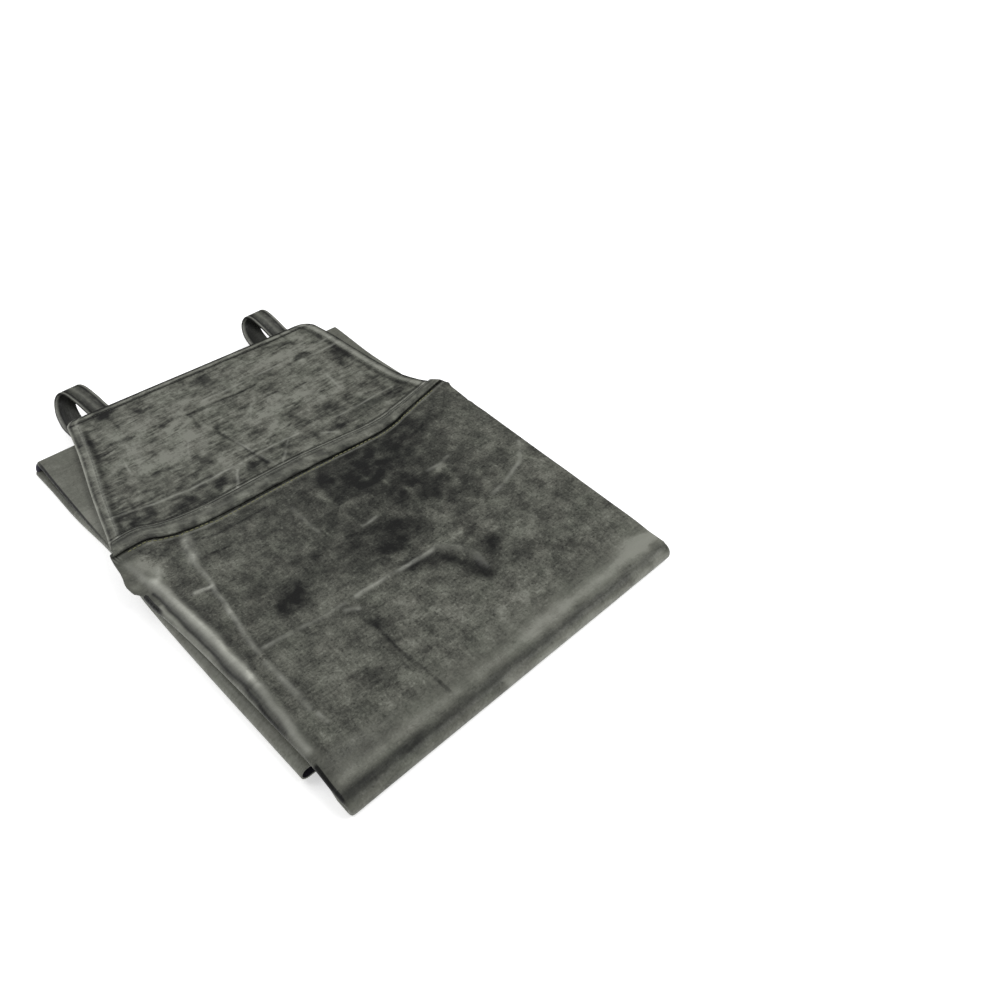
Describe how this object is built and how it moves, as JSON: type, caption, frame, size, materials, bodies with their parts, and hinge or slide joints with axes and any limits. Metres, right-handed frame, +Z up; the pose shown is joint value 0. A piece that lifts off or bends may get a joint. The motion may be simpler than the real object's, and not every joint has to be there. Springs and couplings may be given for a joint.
{
  "type": "folded pvc apron",
  "caption": "Work apron of coated cloth folded flat: skirt folded over in layers, bib with hems and a waist seam on top, loops of strap for the neck behind it.",
  "frame": {"origin": "on the surface the folded apron lies on, under the middle of its bounding box", "axes": "+X along the near fold from the rolled left side to the right side, +Y from the near fold to the top of the bib and the strap loops, +Z up from the surface"},
  "size_m": [0.3434, 0.4972, 0.0308],
  "materials": {
    "coated_cloth": "satin",
    "hem_cloth": "satin",
    "strap_cloth": "satin"
  },
  "bodies": {
    "root": {"skirt_panel": "coated_cloth", "bib_panel": "coated_cloth", "waist_seam": "hem_cloth", "bib_top_hem": "hem_cloth", "bib_left_hem": "hem_cloth", "bib_right_hem": "hem_cloth", "left_neck_loop": "strap_cloth", "right_neck_loop": "strap_cloth"}
  },
  "joints": []
}
